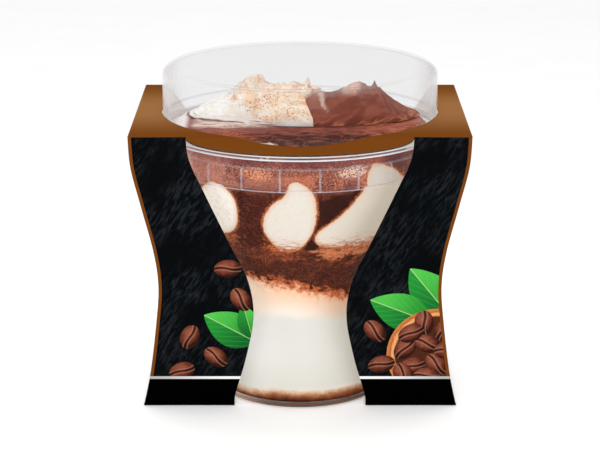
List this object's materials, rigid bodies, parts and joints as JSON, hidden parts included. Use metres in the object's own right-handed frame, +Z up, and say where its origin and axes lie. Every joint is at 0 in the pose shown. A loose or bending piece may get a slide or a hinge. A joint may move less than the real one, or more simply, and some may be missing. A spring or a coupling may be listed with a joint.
{
  "type": "tiramisu",
  "caption": "Single portion of layered tiramisu in a clear waisted cup with its lid, held in a folded card sleeve with hourglass windows.",
  "frame": {"origin": "middle of the cup's base, on the surface it stands on", "axes": "+Z up along the cup's axis, front window towards -Y, +X to the viewer's right"},
  "size_m": [0.0894, 0.0797, 0.0913],
  "materials": {
    "clear_plastic": "clear thin plastic with a slight haze",
    "printed_card": "satin printed card, dark with a brown top panel",
    "soaked_sponge": "wet soaked sponge",
    "mascarpone": "soft matt cream",
    "tinted_cream": "soft cream stained by coffee",
    "cocoa_sponge": "dark moist crumb",
    "soaked_crumb": "mottled moist crumb",
    "cocoa_cream": "aerated cocoa cream",
    "cocoa_top": "piped cocoa cream"
  },
  "bodies": {
    "root": {"cup": "clear_plastic", "lid": "clear_plastic", "sleeve": "printed_card", "soaked_base": "soaked_sponge", "mascarpone_layer": "mascarpone", "tinted_cream": "tinted_cream", "cocoa_sponge": "cocoa_sponge", "soaked_crumb": "soaked_crumb", "cocoa_cream": "cocoa_cream", "cream_lobe_front": "mascarpone", "cream_lobe_front_left": "mascarpone", "cream_lobe_front_right": "mascarpone", "cream_lobe_right": "mascarpone", "cream_lobe_back_right": "mascarpone", "cream_lobe_back": "mascarpone", "cream_lobe_back_left": "mascarpone", "cream_lobe_left": "mascarpone", "mascarpone_swirl": "mascarpone", "cocoa_swirl": "cocoa_top"}
  },
  "joints": []
}
